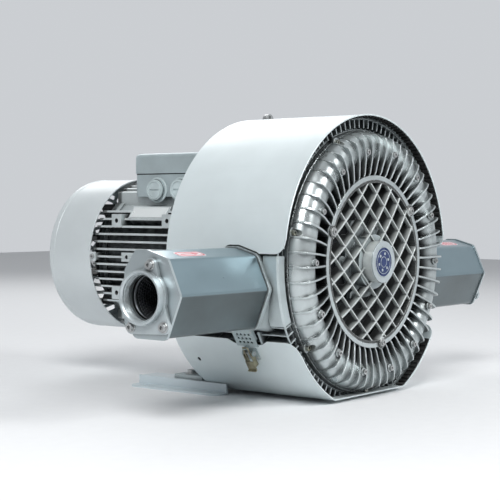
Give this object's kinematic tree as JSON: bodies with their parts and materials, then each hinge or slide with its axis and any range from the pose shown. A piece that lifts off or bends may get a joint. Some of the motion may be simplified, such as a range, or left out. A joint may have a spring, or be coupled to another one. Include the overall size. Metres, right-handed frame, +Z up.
{
  "type": "side channel blower",
  "caption": "Side channel blower with a ribbed round cover and grille, a sheet wrap, six-sided side silencers with threaded ports, and a finned flange motor on foot rails.",
  "frame": {"origin": "on the floor, at the centre of the four foot holes", "axes": "+Z up, +Y along the shaft from the cover to the motor, +X to the right seen from the cover side"},
  "size_m": [1.036, 0.724, 0.53],
  "materials": {
    "cast_paint": "silver paint on cast aluminium",
    "cover_paint": "silver paint on cast aluminium, fine texture",
    "wrap_paint": "smooth light silver-white powder coat",
    "silencer_paint": "blue-grey satin paint",
    "port_paint": "silver-grey paint on cast aluminium",
    "motor_paint": "silver paint on cast aluminium",
    "fan_cover_paint": "smooth light silver-white powder coat",
    "grille_paint": "silver paint on cast aluminium",
    "cap_paint": "silver paint on cast aluminium",
    "badge": "plain blue disc, satin",
    "screw_steel": "zinc plated steel",
    "rim_steel": "zinc plated steel",
    "latch_steel": "yellow zinc plated steel",
    "keeper_steel": "painted sheet steel",
    "rail_steel": "light silver paint on bent sheet steel",
    "bearing_steel": "ground bearing steel",
    "shaft_steel": "turned steel",
    "impeller_alloy": "bare cast aluminium",
    "rotor_steel": "laminated steel",
    "stator_steel": "laminated steel",
    "copper": "varnished copper windings",
    "fan_plastic": "black plastic",
    "foam": "dark acoustic foam",
    "tube_steel": "perforated steel tube",
    "gasket_rubber": "black rubber gasket",
    "plug_plastic": "grey plastic",
    "terminal_paint": "grey paint on cast aluminium",
    "block_plastic": "black moulding compound",
    "plate_alloy": "bare plate"
  },
  "bodies": {
    "blower": {"bearings": "bearing_steel", "cable_plugs": "plug_plastic", "cover_screws": "screw_steel", "fan_cover": "fan_cover_paint", "fan_cover_screws": "screw_steel", "flange_screws": "screw_steel", "foot_rail_left": "rail_steel", "foot_rail_right": "rail_steel", "front_bearing_flange": "cast_paint", "front_cover": "cover_paint", "front_grille": "grille_paint", "grille_screws": "screw_steel", "hub_badge": "badge", "hub_cap": "cap_paint", "latch_base_left": "keeper_steel", "latch_base_right": "keeper_steel", "latch_keeper_left": "keeper_steel", "latch_keeper_right": "keeper_steel", "latch_pins": "screw_steel", "leg_screws": "screw_steel", "lid_gasket": "gasket_rubber", "lid_screws": "screw_steel", "lifting_eye": "screw_steel", "middle_housing": "cast_paint", "motor_frame": "motor_paint", "nameplate": "plate_alloy", "port_flange_left": "port_paint", "port_flange_right": "port_paint", "port_screws": "screw_steel", "port_tube_left": "tube_steel", "port_tube_right": "tube_steel", "rear_end_shield": "motor_paint", "rear_housing": "cast_paint", "rim_screws": "rim_steel", "shaft_seal": "gasket_rubber", "silencer_body_left": "silencer_paint", "silencer_body_right": "silencer_paint", "silencer_end_left": "silencer_paint", "silencer_end_right": "silencer_paint", "silencer_foam_left": "foam", "silencer_foam_right": "foam", "silencer_gaskets": "gasket_rubber", "stator_core": "stator_steel", "stator_windings": "copper", "terminal_block": "block_plastic", "terminal_box": "terminal_paint", "terminal_lid": "terminal_paint", "wrap_lower": "wrap_paint", "wrap_upper": "wrap_paint"},
    "rotor": {"motor_shaft": "shaft_steel", "impeller_front": "impeller_alloy", "impeller_rear": "impeller_alloy", "rotor_core": "rotor_steel", "cooling_fan": "fan_plastic"},
    "lever_left": {"latch_lever_left": "latch_steel"},
    "bail_left": {"latch_bail_left": "latch_steel"},
    "lever_right": {"latch_lever_right": "latch_steel"},
    "bail_right": {"latch_bail_right": "latch_steel"}
  },
  "joints": [
    {"name": "shaft_spin", "type": "hinge", "parent": "blower", "child": "rotor", "pos_m": [0, 0, 0.25], "axis": [0, 1, 0], "continuous": true},
    {"name": "latch_left_lever", "type": "hinge", "parent": "blower", "child": "lever_left", "pos_m": [-0.22814, -0.228, 0.09379], "axis": [0, 1, 0], "range_deg": [0, 100]},
    {"name": "latch_left_bail", "type": "hinge", "parent": "lever_left", "child": "bail_left", "pos_m": [-0.22749, -0.228, 0.08575], "axis": [0, 1, 0], "range_deg": [-100, 0]},
    {"name": "latch_right_lever", "type": "hinge", "parent": "blower", "child": "lever_right", "pos_m": [0.22814, -0.228, 0.09379], "axis": [0, -1, 0], "range_deg": [0, 100]},
    {"name": "latch_right_bail", "type": "hinge", "parent": "lever_right", "child": "bail_right", "pos_m": [0.22749, -0.228, 0.08575], "axis": [0, -1, 0], "range_deg": [-100, 0]}
  ],
  "couplings": [
    {"joint": "latch_left_bail", "follows": "latch_left_lever", "ratio": -1},
    {"joint": "latch_right_bail", "follows": "latch_right_lever", "ratio": -1}
  ]
}
